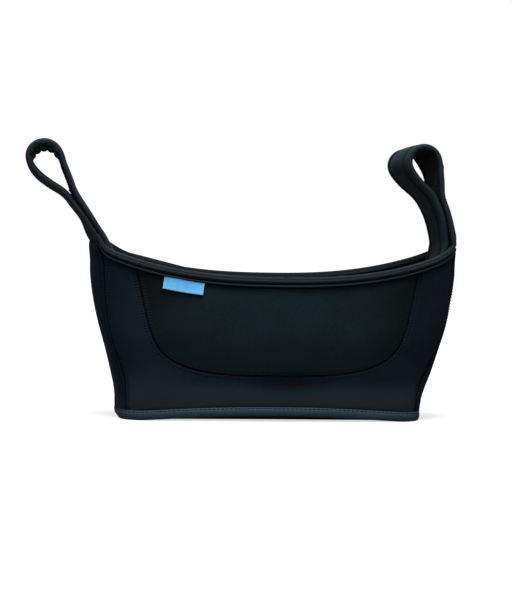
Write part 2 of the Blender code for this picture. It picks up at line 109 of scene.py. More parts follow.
def half_depth(height):
    return through(((0, BASE_DEPTH / 2), (WAIST_HEIGHT, WAIST_DEPTH / 2),
                    (BELLY_HEIGHT, BELLY_DEPTH / 2), (RIM_LOW, RIM_DEPTH / 2)), height)


def sway(height):
    return SWAY * ease(height / RIM_LOW) + bulge(height)


def squareness(height, across):
    left = through(((0, BASE_SQUARENESS), (RIM_LOW, LEFT_SQUARENESS)), height)
    right = through(((0, BASE_SQUARENESS), (RIM_LOW, RIGHT_SQUARENESS)), height)
    return np.where(np.asarray(across) > 0, right, left)


def gusset_half(height):
    return through(((0, GUSSET_BASE / 2), (GUSSET_NECK_HEIGHT, GUSSET_NECK / 2),
                    (RIM_HIGH, STRAP_WIDTH / 2)), height)


def body(points):
    x, y, z = points[..., 0], points[..., 1], points[..., 2]
    across = x - sway(z)
    power = squareness(z, across)
    return np.abs(across / half_length(z)) ** power + np.abs(y / half_depth(z)) ** power


def outward(points):
    return unit(np.stack([body(points + step) - body(points - step)
                          for step in np.eye(3) * 1e-5], -1))


def face_point(x, z, side):
    x, z = np.broadcast_arrays(np.asarray(x, float), np.asarray(z, float))
    power = squareness(z, x - sway(z))
    share = np.minimum(np.abs((x - sway(z)) / half_length(z)), 1.0)
    return np.stack([x, side * half_depth(z) * (1 - share ** power) ** (1 / power), z], -1)


def end_point(y, z, side):
    y, z = np.broadcast_arrays(np.asarray(y, float), np.asarray(z, float))
    power = squareness(z, side)
    share = np.minimum(np.abs(y / half_depth(z)), 1.0)
    reach = side * half_length(z) * (1 - share ** power) ** (1 / power)
    return np.stack(np.broadcast_arrays(sway(z) + reach, y, z), -1)


def seam_x(z, side):
    return end_point(gusset_half(z), z, side)[..., 0]


def rim_height(x, side=-1):
    """The rim sweeps up to the straps, and lifts to meet them at its corners."""
    reach = np.abs(x - SWAY) / (RIM_LENGTH / 2)
    low = (RIM_HIGH - RIM_LOW) * (1 - 0.88 * reach ** 2.5 - 0.12 * reach ** 18)
    past_left, past_right = SWAY - RIM_LENGTH / 2 - x, x - SWAY - RIM_LENGTH / 2
    raised, left, left_fade, right, right_fade = BACK_LIFTS if side > 0 else FRONT_LIFTS
    low = low - raised - left * np.exp(past_left / left_fade)
    low = low - right * np.exp(past_right / right_fade)
    return RIM_HIGH - RIM_BEND * np.log1p(np.exp(low / RIM_BEND))


def hem_lift(x, front):
    reach = np.minimum(np.abs(x) / (BASE_LENGTH / 2 - GUSSET_BASE / 4), 1.0)
    return HEM_ARCH * front * (1 - reach * reach)


def front_share(y):
    return ease((-y - (BASE_DEPTH / 2 - ARCH_DEPTH)) / ARCH_DEPTH)


def lengths(line):
    return np.concatenate([[0.0], np.cumsum(np.linalg.norm(np.diff(line, axis=0), axis=1))])


def at_run(wanted, run, line):
    """The line's points (or normals) at the wanted runs along it."""
    return np.stack([np.interp(wanted, run, line[:, axis]) for axis in range(line.shape[1])], -1)


def respaced(line, count):
    run = lengths(line)
    return at_run(np.linspace(0, run[-1], count + 1), run, line)


def crowded(share, even):
    """Shares from 0 to 1 that crowd towards both ends, the less so the closer even is to 1."""
    return share * even + (1 - even) * (1 - np.cos(pi * share)) / 2


def nearest(points, line):
    """How far each point is from a line, and how far along the line that is."""
    ahead = unit(np.gradient(line, axis=0))
    run = lengths(line)
    reach = (run[1] - run[0]) / 2
    flat = points.reshape(-1, 3)
    away, along = np.empty(len(flat)), np.empty(len(flat))
    for start in range(0, len(flat), 2000):
        gaps = flat[start:start + 2000, None] - line[None]
        squares = (gaps ** 2).sum(2)
        rows, best = np.arange(len(gaps)), squares.argmin(1)
        step = np.clip((gaps[rows, best] * ahead[best]).sum(1), -reach, reach)
        away[start:start + 2000] = np.sqrt(np.maximum(squares[rows, best] - step ** 2, 0))
        along[start:start + 2000] = run[best] + step
    return away.reshape(points.shape[:-1]), along.reshape(points.shape[:-1])


def u_seam(count):
    """The seam round the insert: (x, z) points from the left rim to the right rim."""
    top = rim_height(SWAY + U_TOP_HALF)
    angle = np.linspace(0, pi / 2, 401)
    down = np.sin(angle) ** (2 / 7.5)
    width = (U_TOP_HALF - U_TAPER * down) * np.maximum(np.cos(angle), 0) ** (2 / 3.0)
    side = np.stack([width, top - (top - U_BOTTOM) * down], -1)
    left = side * (-1, 1) + (SWAY, 0)
    right = side[-2::-1] + (SWAY, 0)
    return respaced(np.concatenate([left, right]), count)


def end_seam(side, face):
    z = np.linspace(SLEEVE, RIM_HIGH, 220)
    return end_point(face * gusset_half(z), z, side)


u_line = u_seam(500)
u_line = face_point(u_line[:, 0], u_line[:, 1], -1)
front_seams = (u_line, end_seam(-1, -1), end_seam(1, -1))


def drawn_in(points, seams):
    """How deep the seams and tapes pull the cloth, and its painted shade there, which is negative
    where light is painted instead.
    """
    x, y, z = points[..., 0], points[..., 1], points[..., 2]
    depth, dark, painted_light = (np.zeros(x.shape) for _ in range(3))
    loose = np.ones(x.shape)
    for line in seams:
        away, along = nearest(points, line)
        # Painted shade in each seam's groove and needle holes, and a painted highlight on the cloth
        # between the holes.
        groove, row = hump(away, 0, SEAM_WIDTH), hump(away, STITCH_ROW, NEEDLE_WIDTH)
        prick = needles(along, STITCH_PITCH)
        depth += SEAM_DEPTH * groove + DIP_DEPTH * hump(away, 0, DIP_WIDTH)
        depth += row * (NEEDLE_DEPTH * prick - NEEDLE_BANK)
        dark = np.maximum(dark, np.maximum(groove, row * prick))
        painted_light = np.maximum(painted_light, STITCH_HIGHLIGHT * hump(away, STITCH_ROW, STITCH_HIGHLIGHT_WIDTH) * (1 - prick))
        loose = np.minimum(loose, 1 - hump(away, 0, SEAM_HOLD))
    side = round(y.mean() / 0.04)
    over_hem = z - hem_lift(x, front_share(y)) - HEM_HEIGHT
    tapes = [(over_hem, HEM_PAINTED_SHADE, HEM_PULL if side else END_PULL)]
    if side:
        tapes.insert(0, (rim_height(x, side) - RIM_TAPE_HEIGHT - z, RIM_PAINTED_SHADE, RIM_PULL))
    # Painted shade in the thin line just under each tape's edge.
    for away, darkness, pull in tapes:
        pinch = hump(away, PINCH_PLACE, PINCH_WIDTH)
        depth += PINCH_DEPTH * abs(side) * pinch + pull * hump(away, 0, PULL_WIDTH)
        dark = np.maximum(dark, darkness * pinch)
        loose = np.minimum(loose, 1 - hump(away, 0, TAPE_HOLD))
    sag = (np.sin(31 * x + 17 * z + 0.6) * np.sin(43 * z - 11 * x + 2.1)
           + 0.6 * np.sin(77 * x - 39 * z + 1.3) * np.sin(64 * z + 24 * x + 28 * y + 0.4))
    front = ease(-y / 0.03)
    spread = np.exp(-((x - 0.02) / 0.115) ** 4) * (0.8 + 0.2 * np.sin(52 * x + 0.7))
    crease = front * spread * hump(z, CREASE_HEIGHT, CREASE_WIDTH)
    depth += CREASE_DEPTH * crease - loose * (PUFF + PUFF_WAVE * sag)
    # Painted light on the low cloth that faces up to the overhead lamp, painted shade in the crease
    # under the insert and on the upper far right of the front.
    painted_low_light = hump(z, 0.016, 0.05 - 0.036 * spread)
    painted_right_shade = front * ease((x - 0.1) / 0.04) * ease((z - 0.05) / 0.04)
    broad = 0.85 * crease + 0.3 * painted_right_shade - 0.92 * painted_low_light
    local = np.where(dark > painted_light, dark, -painted_light)
    return depth, local + broad * (1 - np.maximum(dark, painted_light))


NEAR_ROWS = np.array([0, 0.4, 0.8, 1.2, 1.7, 2.2, 2.7, 3.1, 3.5, 3.9, 4.4, 5.2, 6.5]) / 1000


def row_shares(length, middle):
    """Shares of a row's length, close together near both of its seams."""
    near = NEAR_ROWS[None] * np.minimum(1, 0.45 * length / NEAR_ROWS[-1])[:, None]
    steps = np.linspace(0, 1, middle + 2)[None, 1:-1]
    inner = near[:, -1:] + (length[:, None] - 2 * near[:, -1:]) * steps
    return np.concatenate([near, inner, (length[:, None] - near)[:, ::-1]], 1) / length[:, None]


def placed(name, data):
    """Puts a mesh, a lamp or a camera into the scene as an object."""
    made = bpy.data.objects.new(name, data)
    bpy.context.scene.collection.objects.link(made)
    return made


def skin(name, rings, flat=None, shade=None, loop=False):
    """Joins closed rings of points into one skin, and maps the cloth on it in metres."""
    count, size = rings.shape[:2]
    columns = count if loop else count - 1
    closed = np.concatenate([rings, rings[:, :1]], 1)
    if flat is None:
        chart = np.empty((columns + 1, size + 1, 2))
        centres = np.concatenate([rings, rings[:1]])[:columns + 1].mean(1)
        chart[..., 0] = lengths(centres)[:, None]
        chart[..., 1] = np.concatenate([[0], np.cumsum(np.linalg.norm(
            np.diff(closed, axis=1), axis=2).mean(0))])[None]
    else:
        chart = np.concatenate([closed, closed[:1]])[:columns + 1][..., flat]
    bm = bmesh.new()
    bmesh.ops.create_grid(bm, x_segments=columns, y_segments=size, size=0.5)
    cloth = bm.loops.layers.uv.new("cloth")
    # The shade attribute holds painted shade where positive and painted light where negative.
    dark = bm.verts.layers.float.new("shade")
    for vert in bm.verts:
        i, j = round((vert.co.x + 0.5) * columns), round((vert.co.y + 0.5) * size)
        for corner in vert.link_loops:
            corner[cloth].uv = chart[i, j]
        vert[dark] = 0.0 if shade is None else shade[i % count, j % size]
        vert.co = rings[i % count, j % size]
    bmesh.ops.remove_doubles(bm, verts=bm.verts, dist=1e-6)
    bmesh.ops.dissolve_degenerate(bm, edges=bm.edges, dist=1e-7)
    edges = [edge for edge in bm.edges if edge.is_boundary]
    if edges:
        bmesh.ops.holes_fill(bm, edges=edges, sides=0)
    bmesh.ops.recalc_face_normals(bm, faces=bm.faces)
    mesh = bpy.data.meshes.new(name)
    bm.to_mesh(mesh)
    bm.free()
    mesh.shade_smooth()
    return placed(name, mesh)


class Wire:
    """A socket that takes plain arithmetic, and adds the Math nodes for it."""

    def __init__(self, finish, socket):
        self.finish, self.socket = finish, socket

    def math(self, operation, first, second):
        return self.finish.node("ShaderNodeMath", {"operation": operation}, {0: first, 1: second})

    def __add__(self, other):
        return self.math("ADD", self, other)

    __radd__ = __add__

    def __sub__(self, other):
        return self.math("SUBTRACT", self, other)

    def __rsub__(self, other):
        return self.math("SUBTRACT", other, self)

    def __mul__(self, other):
        return self.math("MULTIPLY", self, other)

    __rmul__ = __mul__

    def __pow__(self, other):
        return self.math("POWER", self, other)


# The near-black that painted shade mixes towards.
PAINTED_SHADE_BLACK, KNIT_GLOSS = (0.0006, 0.0009, 0.0011, 1), 0.05


def toned(colour, factor):
    return tuple(min(1.0, c * factor) for c in colour[:3]) + (1,)


class Finish:
    """A material whose nodes are added one by one, each with its settings and inputs."""

    def __init__(self, name):
        self.material = bpy.data.materials.new(name)
        self.material.use_nodes = True
        self.tree = self.material.node_tree
        self.shader = self.tree.nodes["Principled BSDF"]

    def node(self, kind, settings=None, inputs=None, output=0):
        made = self.tree.nodes.new(kind)
        for key, value in (settings or {}).items():
            setattr(made, key, value)
        for key, value in (inputs or {}).items():
            self.feed(made.inputs[key], value)
        return Wire(self, made.outputs[output])

    def feed(self, socket, value):
        if isinstance(value, Wire):
            self.tree.links.new(value.socket, socket)
        else:
            socket.default_value = value

    def chart(self):
        return self.node("ShaderNodeUVMap", {"uv_map": "cloth"})

    def place(self):
        return self.node("ShaderNodeTexCoord", output=3)

    def noise(self, place, scale, detail=2.0, rough=0.5):
        return self.node("ShaderNodeTexNoise", None, {"Vector": place, "Scale": scale,
                                                      "Detail": detail, "Roughness": rough})

    def wave(self, direction, scale, distortion, detail=1.0, detail_scale=1.0):
        return self.node("ShaderNodeTexWave", {"wave_type": "BANDS", "bands_direction": direction},
                         {"Vector": self.chart(), "Scale": scale, "Distortion": distortion,
                          "Detail": detail, "Detail Scale": detail_scale})

    def set(self, **values):
        for name, value in values.items():
            self.feed(self.shader.inputs[name.replace("_", " ")], value)
        return self.material

    def mix(self, share, first, second):
        return self.node("ShaderNodeMix", {"data_type": "RGBA"}, {0: share, 6: first, 7: second}, 2)

    def shaded(self, tone, colour):
        """Darkens a tone with painted shade in its piece's grooves, creases and under its tapes, and
        pales it with painted light where the shade attribute is negative.
        """
        shade = self.node("ShaderNodeAttribute", {"attribute_name": "shade"}, output=2)
        grey = sum(colour[:3]) / 3
        painted_light = toned([0.6 * c + 0.4 * grey for c in colour[:3]], 3.2)
        tone = self.mix(shade.math("MAXIMUM", -1 * shade, 0), tone, painted_light)
        return self.mix(shade.math("MAXIMUM", shade, 0) * 0.93, tone, PAINTED_SHADE_BLACK)

    def bump(self, height, distance):
        return self.node("ShaderNodeBump", None, {"Height": height, "Distance": distance})


def knit(name, colour, rough=0.8, sheen=0.02, light=2.8, grain=0.0001):
    """Foam-backed jersey: tiny columns of loops, a soft mottle, and the piece's painted shade and
    painted light, such as painted shade in its needle holes.
    """
    finish = Finish(name)
    place = finish.place()
    mottle, cloud = finish.noise(place, 330.0, 3.0, 0.6), finish.noise(place, 22.0)
    wales = finish.wave("X", 380.0, 1.6, detail_scale=2.0)
    courses = finish.wave("Y", 300.0, 2.2, detail_scale=2.0)
    tone = finish.mix(mottle * 0.6 + cloud * 0.4, toned(colour, 1 / light), toned(colour, light))
    tone = finish.shaded(tone, colour)
    height = wales * courses + mottle * 0.9
    return finish.set(Base_Color=tone, Roughness=rough + (mottle - 0.5) * 0.12,
                      Normal=finish.bump(height, grain), Specular_IOR_Level=KNIT_GLOSS,
                      Sheen_Weight=sheen, Sheen_Roughness=0.5, Sheen_Tint=(0.72, 0.82, 0.88, 1))


def dressed(piece, material, slot, *nodes, fill=None):
    """Gives a piece its finish, attaches it to the body, and hides the solids it stands for."""
    piece.data.materials.append(material)
    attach(piece, "root")
    if nodes:
        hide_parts(*nodes)


def panel(name, outer, depth, shade, cloth, slot, node, flat=(0, 2)):
    """Makes a panel: its drawn-in outer face, and its plain inner face coming back."""
    normals, last = outward(outer), outer.shape[1] - 1
    face = outer - normals * np.minimum(depth, DEEPEST)[..., None]
    picks = np.unique(np.append(np.arange(0, last + 1, 4), last))[::-1]
    swell = 0.3 * np.minimum(depth[:, picks, None], 0)
    back = outer[:, picks] - normals[:, picks] * (PANEL + swell)
    shade = np.concatenate([shade, np.zeros(back.shape[:2])], 1)
    dressed(skin(name, np.concatenate([face, back], 1), flat=flat, shade=shade), cloth, slot,
            node, fill=PANEL_FILL)


def surround_outer(count, middle):
    """Outer points of the front panel, in rows from the insert's seam to its other edges."""
    inner = u_seam(count)
    index = np.arange(count + 1)
    corner = count // 4
    side = np.where(index < count / 2, -1, 1)
    from_top = np.minimum(index, count - index) / corner
    foot_x = seam_x(0.0085, side)
    foot = SLEEVE + hem_lift(foot_x, 1.0)
    top = rim_height(seam_x(RIM_HIGH - SLEEVE, side)) - SLEEVE
    z = top + (foot - top) * np.minimum(from_top, 1)
    x = seam_x(z, side) - side * SEAM_CLEARANCE
    share = crowded(np.clip((index - corner) / (count - 2 * corner), 0, 1), 0.5)
    left, right = (seam_x(SLEEVE, s) - s * SEAM_CLEARANCE for s in (-1, 1))
    low_x = left + (right - left) * share
    low = from_top > 1
    x = np.where(low, low_x, x)
    z = np.where(low, SLEEVE + hem_lift(low_x, 1.0), z)
    ends = np.stack([x, z], -1)
    shares = row_shares(np.linalg.norm(ends - inner, axis=1), middle)
    rise = inner[:, 1] / (rim_height(inner[:, 0]) - SLEEVE)
    fall = z / (rim_height(x) - SLEEVE)
    rise[[0, -1]] = fall[[0, -1]] = 1
    across = inner[:, :1] + (x - inner[:, 0])[:, None] * shares
    up = (rise[:, None] + (fall - rise)[:, None] * shares) * (rim_height(across) - SLEEVE)
    return face_point(across, up, -1)


side_knit = knit("side_knit", SIDE_BLACK)
outer = surround_outer(1200, 16)
panel("front_cloth", outer, *drawn_in(outer, front_seams), side_knit, "side_cloth",
      "front_surround")


# Front insert: the same knit in a greener black. It hangs from the rim and is sewn into
# the U of the front panel, so it makes the flat front of the outer pocket.
GREEN_BLACK = (0.0022, 0.0064, 0.0073, 1)


def insert_outer(count, middle):
    edge = u_seam(count)
    ahead = unit(np.gradient(edge, axis=0))
    inward = np.stack([-ahead[:, 1], ahead[:, 0]], -1)
    start = edge + inward * SEAM_CLEARANCE
    near = start[:, None] + inward[:, None] * NEAR_ROWS[None, :, None]
    half = U_TOP_HALF - NEAR_ROWS[-1] - 0.002
    top_x = SWAY + half * np.linspace(-1, 1, count + 1)
    top = np.stack([top_x, rim_height(top_x) - SLEEVE], -1)
    from_top = np.array([20, 16, 13, 11, 9.6, 8.8, 8.2, 7.7, 7.2, 6.6, 5.6, 4, 2, 0]) / 1000
    drop = np.linalg.norm(top - near[:, -1], axis=1)[:, None]
    from_top = 1 - from_top[None] * np.minimum(1 / drop, 0.7 / from_top[0])
    steps = np.linspace(0, 1, middle + 1)[None, 1:] * from_top[:, :1]
    steps = np.concatenate([steps, from_top[:, 1:]], 1)[..., None]
    far = near[:, -1:] + (top[:, None] - near[:, -1:]) * steps
    points = np.concatenate([near, far], 1)
    x = points[..., 0]
    return face_point(x, np.minimum(points[..., 1], rim_height(x) - SLEEVE), -1)


outer = insert_outer(1000, 22)
depth, shade = drawn_in(outer, front_seams)
x, z = outer[..., 0], outer[..., 2]
# Painted shade towards the insert's sides and top, and painted light on its lower middle.
tone = 0.62 * (np.abs(x - SWAY) / 0.13) ** 3 + 0.1 * ease((z - 0.1) / 0.03)
tone = (tone - 0.26 * hump(z, 0.064, 0.022)) * np.clip(1 - 1.4 * np.abs(shade), 0, 1)
panel("insert_cloth_panel", outer, depth, shade + tone, knit("green_knit", GREEN_BLACK),
      "insert_cloth", "front_insert")


# Back panel: one plain piece of the same knit from end seam to end seam. It hangs against
# the stroller, so it has no pocket and its seams are topstitched like the front's.
def back_outer(count, middle):
    share = crowded(np.linspace(0, 1, count + 1), 0.35)[:, None]
    up = np.linspace(0, 1, middle + 1)[None]
    z = RIM_HIGH * up + 0 * share
    for _ in range(4):
        left, right = seam_x(z, -1) + SEAM_CLEARANCE, seam_x(z, 1) - SEAM_CLEARANCE
        x = left + (right - left) * share
        z = SLEEVE + (rim_height(x, 1) - 2 * SLEEVE) * up
    return face_point(x, z, 1)


def end_rows(line, middle):
    """Turns evenly spread points of each row into ones that crowd at both ends."""
    run = np.stack([lengths(row) for row in line])
    shares = row_shares(run[:, -1], middle) * run[:, -1:]
    return np.stack([at_run(*row) for row in zip(shares, run, line)])


outer = end_rows(back_outer(300, 300).transpose(1, 0, 2), 90)
panel("back_cloth", outer, *drawn_in(outer, (end_seam(-1, 1), end_seam(1, 1))), side_knit,
      "side_cloth", "back_panel")


# End panels: a strip of the knit on each end, wide at the base and narrowed to the
# strap's width at the top, where the strap is sewn on with a short tuck.
TUCK_DEPTH, TUCK_DROP, TUCK_WIDTH, LEFT_SWELL, RIGHT_SWELL = 0.0006, 0.0034, 0.0008, 0.0022, 0.0008


def gusset_outer(side, count, middle):
    z = np.linspace(SLEEVE, RIM_HIGH, count + 1)
    half = gusset_half(z) - SEAM_CLEARANCE
    y = half[:, None] * (2 * row_shares(2 * half, middle) - 1)
    return end_point(y, z[:, None] + 0 * y, side)


for name, side in (("left", -1), ("right", 1)):
    outer = gusset_outer(side, 240, 20)
    depth, shade = drawn_in(outer, (end_seam(side, -1), end_seam(side, 1)))
    z = outer[..., 2]
    tuck, top = hump(z, RIM_HIGH - TUCK_DROP, TUCK_WIDTH), ease((z - 0.156) / 0.016)
    depth = depth * (1 - 0.8 * top) + TUCK_DEPTH * tuck
    depth = depth - (LEFT_SWELL if side < 0 else RIGHT_SWELL) * top
    if side > 0:
        depth += 0.0014 * hump(z, 0.12, 0.02) - 0.0018 * hump(z, 0.045, 0.022)
    # Painted shade in the tuck under the strap.
    panel(name + "_end_cloth", outer, depth, np.maximum(shade, 0.8 * tuck), side_knit,
          "side_cloth", name + "_gusset", flat=(1, 2))


# Topstitching: black thread that runs beside each seam. Every stitch is pulled down into
# the knit between two needle holes.
THREAD_BLACK = (0.0007, 0.0009, 0.0012, 1)
STITCH_LENGTH, THREAD_RADIUS = 0.0016, 0.0004


def stitches(name, rows, pitch, length, radius):
    """Short lengths of thread along rows of points, each row given with its normals."""
    mesh = bpy.data.meshes.new(name)
    for line, up in rows:
        bm = bmesh.new()
        run = lengths(line)
        ahead = np.gradient(line, axis=0)
        for middle in np.arange(pitch, run[-1] - pitch / 2, pitch):
            at, along, normal = (Vector(at_run(middle, run, values)) for values in (line, ahead, up))
            turn = Matrix((normal.cross(along).normalized(), normal.normalized(),
                           along.normalized())).transposed().to_4x4()
            size = Matrix.Diagonal((radius * 1.2, radius, length / 2, 1))
            bmesh.ops.create_uvsphere(bm, u_segments=6, v_segments=5, radius=1.0,
                                      matrix=Matrix.Translation(at) @ turn @ size)
        bm.from_mesh(mesh)
        bm.to_mesh(mesh)
        bm.free()
    mesh.shade_smooth()
    finish = Finish(name + "_thread")
    twist = finish.noise(finish.place(), 2600.0)
    finish.set(Base_Color=finish.mix(twist, THREAD_BLACK, toned(THREAD_BLACK, 2.2)),
               Roughness=0.5 + twist * 0.2, Normal=finish.bump(twist, 0.00006),
               Specular_IOR_Level=0.03)
    dressed(placed(name, mesh), finish.material, "edge_tape")


def beside(line, away, end=None):
    """A row of points that runs beside a seam on the body's outer face."""
    row = line + unit(np.cross(outward(line), np.gradient(line, axis=0))) * away
    if end is None:
        row = face_point(row[:, 0], row[:, 2], np.sign(line[:, 1].mean()))
    else:
        row = end_point(row[:, 1], row[:, 2], end)
    normal = outward(row)
    return row - normal * THREAD_SINK, normal


seam_line = respaced(u_line, 700)[8:-8]
stitches("insert_stitching", [beside(seam_line, way * STITCH_ROW) for way in (-1, 1)],
         STITCH_PITCH, STITCH_LENGTH, THREAD_RADIUS)
end_thread = []
for side in (-1, 1):
    for face in (-1, 1):
        line = end_seam(side, face)[12:-14]
        end_thread.append(beside(line, STITCH_ROW * side * face))
        end_thread.append(beside(line, -STITCH_ROW * side * face, side))
stitches("end_stitching", end_thread, STITCH_PITCH, STITCH_LENGTH, THREAD_RADIUS)


# Rim tapes: a soft band folded over each top edge and sewn through near its lower edge,
# so it swells into a round roll above the stitches and leaves a thin lip below them.
RIM_STITCH, RIM_PITCH, TAPE_THREAD_SINK, END_REACH = 0.003, 0.0032, 0.00062, 0.009
TAPE_LIP, TAPE_GROOVE, TAPE_GROOVE_WIDTH = 0.0006, 0.0005, 0.0006
CLIMB_OUT, CLIMB_UP, CLIMB_REACH, TIP_REACH = 0.003, 0.0085, 0.01, 0.0042
RIM_END, FRONT_END, RIM_TIP = 0.62, 0.8, 0.3
TAPE_BLACK = (0.0042, 0.0086, 0.011, 1)


def leg_swell(t, height, groove_at, fat):
    """How far a tape's leg stands out at t above its lower edge."""
    groove = hump(t, groove_at, TAPE_GROOVE_WIDTH)
    share = np.clip((t - groove_at) / (height - groove_at), 0, 1)
    lip = np.clip(t / groove_at, 0, 1)
    swell = fat * (np.sin(pi * share) ** 0.7 + 0.5 * np.sin(pi * lip))
    return swell - TAPE_GROOVE * groove, groove


def tape_ring(leg_out, leg_in, half, groove_at, fat=0.0011, bend=14):
    """A folded tape's section: (w, h) round it, with the depth of its grooves' shade."""
    turn = np.linspace(-pi, 0, 7)
    legs = []
    for leg in (leg_out, leg_in):
        t = np.concatenate([[0.0008, 0.0012, 0.0016], groove_at + np.linspace(-0.0008, 0.0008, 7),
                            np.linspace(groove_at + 0.0012, leg, 9)])
        swell, groove = leg_swell(t, leg, groove_at, fat)
        legs.append((np.concatenate([half - TAPE_LIP + TAPE_LIP * np.cos(turn), half + swell]),
                     np.concatenate([TAPE_LIP - leg + TAPE_LIP * np.sin(turn), t - leg]),
                     np.concatenate([np.zeros(7), groove])))
    (w, h, dark), (w_in, h_in, dark_in) = legs
    angle, inside = np.linspace(0, pi, bend)[1:-1], half - TAPE
    w = np.concatenate([w, half * np.cos(angle), -w_in[::-1],
                        [-inside, -inside, 0, inside, inside]])
    h = np.concatenate([h, half * 1.02 * np.sin(angle), h_in[::-1],
                        [-leg_in / 2, 0, inside, 0, -leg_out / 2]])
    return w, h, np.concatenate([dark, 0 * angle, dark_in[::-1], np.zeros(5)])


def tape_cloth(name, colour, rough=0.58):
    """Soft knit tape with a fine lengthwise rib and a satin sheen along its folds."""
    finish = Finish(name)
    mottle, rib = finish.noise(finish.place(), 420.0, 3.0, 0.6), finish.wave("X", 420.0, 2.5, 1.5)
    tone = finish.mix(mottle, toned(colour, 1 / 1.5), toned(colour, 1.5))
    tone = finish.shaded(tone, colour)
    return finish.set(Base_Color=tone, Roughness=rough + (mottle - 0.5) * 0.15,
                      Normal=finish.bump(rib * 0.4 + mottle, 0.00006), Specular_IOR_Level=0.045,
                      Sheen_Weight=0.02, Sheen_Roughness=0.4, Sheen_Tint=(0.75, 0.84, 0.9, 1))


def rim_frame(side, count):
    """Evenly spread points along a rim, in the middle of its tape's bend."""
    left, right = (seam_x(RIM_HIGH - SLEEVE, s) - s * SEAM_CLEARANCE for s in (-1, 1))
    x = left + (right - left) * crowded(np.linspace(0, 1, 1200), 0.35)
    line = face_point(x, rim_height(x, side) - SLEEVE, side)
    return respaced(line, count)


def on_rim(x, side, w, h):
    """A place on the rim's tape: w out from the panel's middle, h above its bend's middle."""
    top = rim_height(x, side) - SLEEVE
    base = face_point(x, top + np.minimum(h, 0), side)
    base = base + outward(base) * (w - PANEL / 2)[..., None]
    climb = ease(1 - (x - seam_x(RIM_HIGH, -1)) / CLIMB_REACH) ** 2 if side < 0 else 0.0
    base[..., 0] -= CLIMB_OUT * climb
    base[..., 2] += np.maximum(h, 0) + CLIMB_UP * climb
    return base


rim_tape_cloth = tape_cloth("rim_tape_cloth", TAPE_BLACK)
rim_rows = []
for name, side in (("front", -1), ("back", 1)):
    stations = rim_frame(side, 640)
    run = lengths(stations)
    w, h, dark = tape_ring(RIM_TAPE_HEIGHT - SLEEVE, RIM_TAPE_HEIGHT - SLEEVE, SLEEVE, RIM_STITCH)
    prick = needles(run, RIM_PITCH)[:, None]
    wander = (0.00022 * np.sin(run * 61 + side) + 0.00015 * np.sin(run * 173 + 2))[:, None]
    shapes = np.sign(w) * (wander - 0.0003 * prick * dark) + w
    thin = FRONT_END if side < 0 else RIM_END
    taper = thin + (1 - thin) * ease((run[-1] - run) / END_REACH)
    taper = taper * (RIM_END + (1 - RIM_END) * ease(run / END_REACH))
    tip = RIM_TIP + (1 - RIM_TIP) * ease(run / TIP_REACH) if side < 0 else np.ones(len(run))
    x = stations[:, :1] + 0 * w
    rings = on_rim(x, side, shapes * (taper * tip)[:, None], h * tip[:, None])
    # Painted highlight on the lip below the stitches, painted shade on the lower roll and on the inner
    # side between the two rims, and painted shade at the needle holes with painted highlight between
    # them.
    rise = h + RIM_TAPE_HEIGHT - SLEEVE
    face = 0.55 * hump(rise, 0.005, 0.0016) - 0.9 * hump(rise, 0.0017, 0.0008)
    painted_tape_light = np.where(w > 0.001, face, 0.62 * (w < -0.001))[None]
    shade = painted_tape_light * (1 - dark) + dark * (1.35 * prick - 0.4)
    dressed(skin(name + "_rim_band", rings, shade=shade),
            rim_tape_cloth, "edge_tape", name + "_rim_tape")
    for way in (1, -1):
        hole = np.full(len(run), RIM_STITCH - (RIM_TAPE_HEIGHT - SLEEVE))
        row = on_rim(stations[:, 0], side, way * (SLEEVE - TAPE_THREAD_SINK) * taper, hole)[18:-8]
        rim_rows.append((row, outward(row) * way))
stitches("rim_stitching", rim_rows, RIM_PITCH, 0.0019, 0.00042)


# Hem tape: one strip folded under the bottom edge all round and sewn near its top. The
# front of the hem arches a little off the floor.
HEM_STITCH_DROP, HEM_PITCH, HEM_INNER = 0.0013, 0.0044, 0.006


def hem_path(count):
    angle = np.linspace(0, tau, 2881)
    z = np.full_like(angle, SLEEVE)
    power = squareness(z, np.cos(angle))
    x = half_length(z) * np.abs(np.cos(angle)) ** (2 / power) * np.sign(np.cos(angle))
    y = half_depth(z) * np.abs(np.sin(angle)) ** (2 / power) * np.sign(np.sin(angle))
    return respaced(np.stack([sway(z) + x, y, z], -1), count)[:-1]


def on_hem(middle, w, h):
    z = SLEEVE + hem_lift(middle[..., 0], front_share(middle[..., 1])) + np.maximum(h, 0)
    x = sway(z) + middle[..., 0] * half_length(z) / half_length(SLEEVE)
    y = middle[..., 1] * half_depth(z) / half_depth(SLEEVE)
    point = np.stack([x, y, z], -1)
    point = point + outward(point) * (w - PANEL / 2)[..., None]
    point[..., 2] = z + np.minimum(h, 0)
    return point


middles = hem_path(960)
run = lengths(middles)
w, h, dark = tape_ring(HEM_HEIGHT - SLEEVE, HEM_INNER - SLEEVE, SLEEVE, HEM_STITCH_DROP, 0.0004,
                       bend=16)
prick = needles(run, HEM_PITCH)[:, None]
wander = (0.0002 * np.sin(run * 47) + 0.00014 * np.sin(run * 139 + 1))[:, None]
shapes = np.sign(w) * (wander - 0.00022 * prick * dark) + w
rings = on_hem(middles[:, None] + 0 * shapes[..., None], shapes, -h + 0 * shapes)
hem_cloth = tape_cloth("hem_cloth", (0.02, 0.0335, 0.045, 1), rough=0.66)
# Painted shade at the stitch groove's needle holes, painted highlight between them.
dressed(skin("hem_band", rings, shade=dark * (1.2 * prick - 0.25), loop=True),
        hem_cloth, "edge_tape", "hem_tape")
hole = np.full(len(run), HEM_HEIGHT - SLEEVE - HEM_STITCH_DROP)
row = on_hem(middles, np.full(len(run), SLEEVE - TAPE_THREAD_SINK), hole)
row = np.concatenate([row, row[:1]])
stitches("hem_stitching", [(row, outward(row))], HEM_PITCH, 0.0027, 0.00045)


